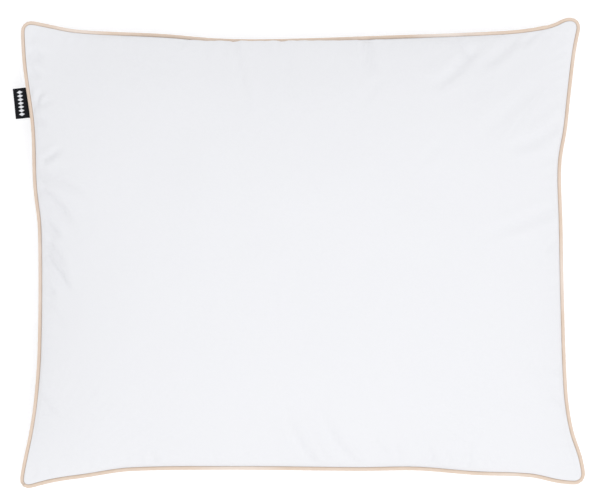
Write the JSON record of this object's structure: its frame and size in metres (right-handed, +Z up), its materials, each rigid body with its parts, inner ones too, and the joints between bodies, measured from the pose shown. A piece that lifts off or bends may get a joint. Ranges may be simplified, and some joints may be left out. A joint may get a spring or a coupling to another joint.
{
  "type": "bed pillow",
  "caption": "Rectangular bed pillow, soft filling in a white cotton casing with corded piping round the seam, a small woven tab and a hanging care ribbon.",
  "frame": {"origin": "centre of the flattened face that the pillow rests on, at floor level", "axes": "+X along the long sides, towards the side without labels; +Y along the short sides, towards the end where the woven tab sits; +Z up through the thickness"},
  "size_m": [0.608, 0.5, 0.1329],
  "materials": {
    "casing": "white downproof cotton, plain weave",
    "piping": "champagne satin bias binding",
    "cord": "unbleached cotton cord",
    "filling": "loose white fibre filling",
    "thread": "white polyester sewing thread",
    "brand_label": "black damask woven label with a row of plain white lozenges",
    "care_label": "white satin ribbon, unprinted"
  },
  "bodies": {
    "pillow": {"top_panel": "casing", "bottom_panel": "casing", "piping_cover": "piping", "piping_cord": "cord", "filling": "filling", "seam_needle_thread": "thread", "seam_bobbin_thread": "thread", "closing_stitch": "thread"},
    "brand_flap": {"brand_label": "brand_label"},
    "care_flap": {"care_label": "care_label"}
  },
  "joints": [
    {"name": "brand_label_flap", "type": "hinge", "parent": "pillow", "child": "brand_flap", "pos_m": [-0.29271, 0.15965, 0.04859], "axis": [-0.1181, 0.9882, -0.097], "range_deg": [-85, 80], "stiffness_Nm_per_rad": 0.0002},
    {"name": "care_label_swing", "type": "hinge", "parent": "pillow", "child": "care_flap", "pos_m": [-0.27919, -0.12096, 0.04787], "axis": [0.0813, 0.9962, 0.0318], "range_deg": [-8, 90]}
  ]
}
